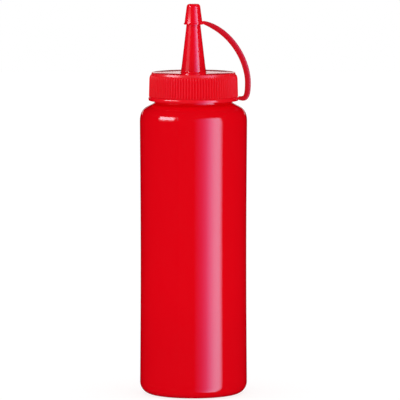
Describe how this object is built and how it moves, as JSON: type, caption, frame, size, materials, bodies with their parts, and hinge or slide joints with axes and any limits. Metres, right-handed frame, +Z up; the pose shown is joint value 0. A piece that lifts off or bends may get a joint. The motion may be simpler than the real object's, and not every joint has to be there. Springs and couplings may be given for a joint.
{
  "type": "squeeze bottle",
  "caption": "Tall round red squeeze bottle with a ribbed screw cap, a tapered spout and a tip cap held by a curved strap.",
  "frame": {"origin": "centre of the flat base, on the bottle's axis", "axes": "+Z up along the bottle's axis; +X from the axis towards the strap's arch"},
  "size_m": [0.073, 0.0706, 0.2575],
  "materials": {
    "bottle_plastic": "smooth glossy blow-moulded plastic",
    "cap_plastic": "glossy moulded plastic",
    "strap_plastic": "soft-gloss moulded plastic"
  },
  "bodies": {
    "root": {"bottle": "bottle_plastic", "screw_cap": "cap_plastic", "tip_cap_strap": "strap_plastic"}
  },
  "joints": []
}
